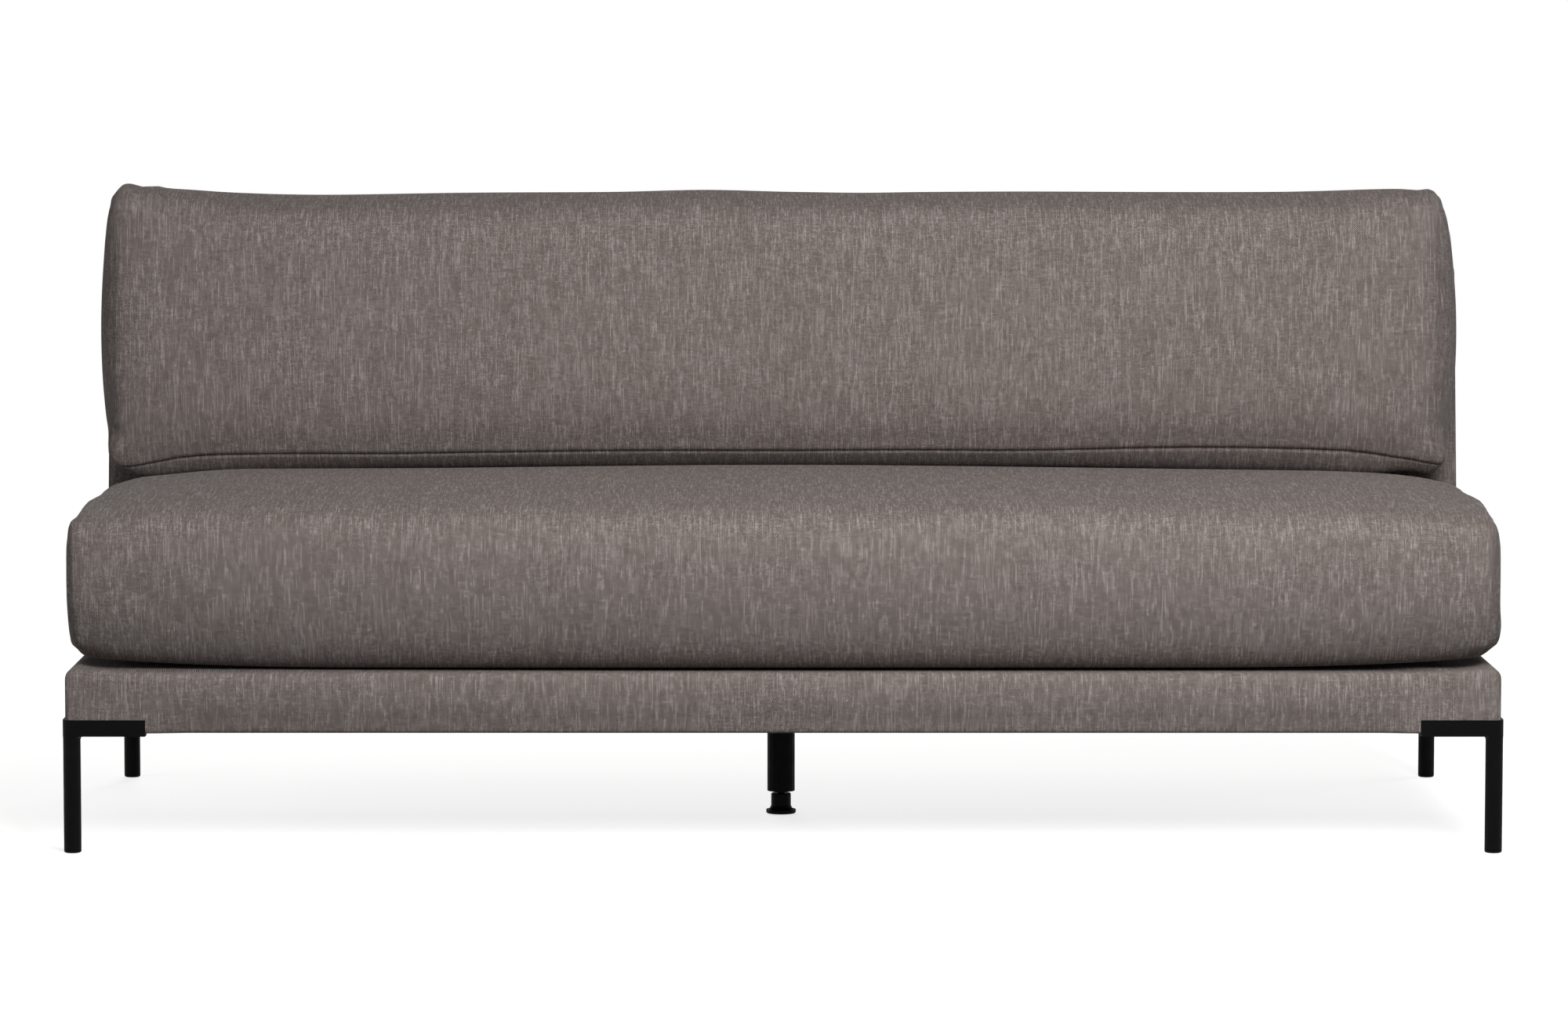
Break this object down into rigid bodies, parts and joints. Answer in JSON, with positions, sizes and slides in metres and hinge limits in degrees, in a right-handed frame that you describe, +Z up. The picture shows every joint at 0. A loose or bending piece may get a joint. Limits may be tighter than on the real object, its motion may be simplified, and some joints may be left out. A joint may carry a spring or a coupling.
{
  "type": "dining sofa module",
  "caption": "Armless upholstered bench section with a loose seat cushion, a loose back cushion on a low back frame, black corner legs and a levelling centre leg.",
  "frame": {"origin": "on the floor below the middle of the module", "axes": "+Z up, +X along the width to the sitter's left-hand end as seen from the front (right in the picture), the front faces -Y"},
  "size_m": [1.8, 0.76, 0.8121],
  "materials": {
    "weave": "taupe-grey melange plain weave",
    "powder_coat": "matt black powder coat",
    "nylon": "moulded, matt",
    "steel": "zinc plated",
    "pine": "planed",
    "plywood": "sawn",
    "fibreboard": "hard pressed",
    "webbing": "woven elastic",
    "foam": "cut foam",
    "wadding": "fibre wadding",
    "dust_cloth": "non-woven",
    "zip_tape": "woven tape with a nylon coil"
  },
  "bodies": {
    "sofa": {"base_front_rail": "pine", "base_rear_rail": "pine", "base_left_rail": "pine", "base_right_rail": "pine", "base_webbing_rail": "pine", "corner_block_front_left": "pine", "corner_block_front_right": "pine", "corner_block_rear_left": "pine", "corner_block_rear_right": "pine", "base_center_board": "plywood", "base_back_board": "plywood", "seat_strap_1": "webbing", "seat_strap_2": "webbing", "seat_strap_3": "webbing", "seat_strap_4": "webbing", "seat_strap_5": "webbing", "seat_strap_6": "webbing", "base_padding": "wadding", "base_cover": "weave", "dust_cover": "dust_cloth", "leg_front_left": "powder_coat", "leg_front_right": "powder_coat", "leg_rear_left": "powder_coat", "leg_rear_right": "powder_coat", "leg_glide_front_left": "nylon", "leg_glide_front_right": "nylon", "leg_glide_rear_left": "nylon", "leg_glide_rear_right": "nylon", "leg_bolt_front_left": "steel", "leg_bolt_front_right": "steel", "leg_bolt_rear_left": "steel", "leg_bolt_rear_right": "steel", "center_leg": "powder_coat", "center_leg_insert": "nylon", "back_bottom_board": "plywood", "back_top_rail": "plywood", "back_left_post": "plywood", "back_left_inner_post": "plywood", "back_right_inner_post": "plywood", "back_right_post": "plywood", "back_rear_panel": "fibreboard", "back_strap_1": "webbing", "back_strap_2": "webbing", "back_strap_3": "webbing", "back_padding": "wadding", "back_cover": "weave", "back_bolt_1": "steel", "back_bolt_2": "steel", "back_bolt_3": "steel", "back_bolt_4": "steel", "seat_cushion_cover": "weave", "seat_cushion_core": "foam", "seat_cushion_zip": "zip_tape", "back_cushion_cover": "weave", "back_cushion_fill": "wadding", "back_cushion_zip": "zip_tape"},
    "foot_pad": {"center_foot_pad": "nylon"},
    "foot_screw": {"center_foot_screw": "nylon"},
    "seat_zip_slider": {"seat_cushion_zip_slider": "steel"},
    "back_zip_slider": {"back_cushion_zip_slider": "steel"}
  },
  "joints": [
    {"name": "foot_height", "type": "slide", "parent": "sofa", "child": "foot_pad", "axis": [0, 0, 1], "range_m": [-0.015, 0.003]},
    {"name": "foot_turn", "type": "hinge", "parent": "foot_pad", "child": "foot_screw", "pos_m": [0, 0, 0.015], "axis": [0, 0, 1], "range_deg": [-3599, 719]},
    {"name": "seat_zip", "type": "slide", "parent": "sofa", "child": "seat_zip_slider", "axis": [1, 0, 0], "range_m": [-1.46, 0]},
    {"name": "back_zip", "type": "slide", "parent": "sofa", "child": "back_zip_slider", "axis": [1, 0, 0], "range_m": [-1.46, 0]}
  ],
  "couplings": [
    {"joint": "foot_height", "follows": "foot_turn", "m_per_rad": 0.00023873}
  ]
}
